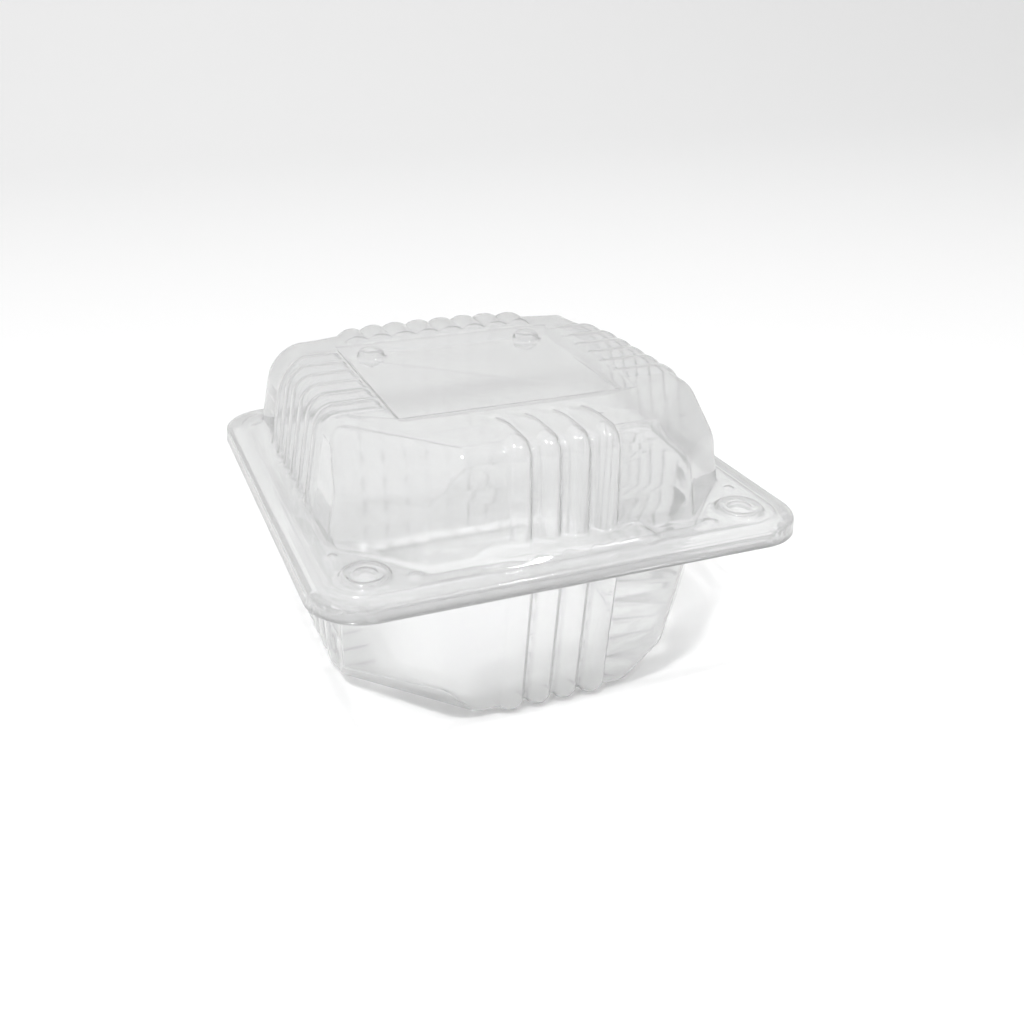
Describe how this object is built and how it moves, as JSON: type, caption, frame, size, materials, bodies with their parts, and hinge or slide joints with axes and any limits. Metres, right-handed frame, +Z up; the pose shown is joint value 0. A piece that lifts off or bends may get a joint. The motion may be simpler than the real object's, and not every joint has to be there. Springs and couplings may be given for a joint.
{
  "type": "hinged clear plastic fruit container",
  "caption": "Square hinged clamshell box of clear thin plastic with fluted walls, cut front corners, a flat rim with press buttons and a lid with a sunken top panel.",
  "frame": {"origin": "middle of the box on the surface that it stands on", "axes": "+Z up, +X to the right along the front, -Y towards the front where the press buttons are; the hinge is at +Y"},
  "size_m": [0.1312, 0.1312, 0.0786],
  "materials": {
    "base_sheet": "clear gloss",
    "lid_sheet": "clear gloss",
    "hinge_sheet": "clear gloss"
  },
  "bodies": {
    "base": {"base": "base_sheet", "hinge_bead": "hinge_sheet"},
    "lid": {"lid": "lid_sheet"}
  },
  "joints": [
    {"name": "lid_hinge", "type": "hinge", "parent": "base", "child": "lid", "pos_m": [0, 0.065, 0.04465], "axis": [-1, 0, 0], "range_deg": [0, 180]}
  ]
}
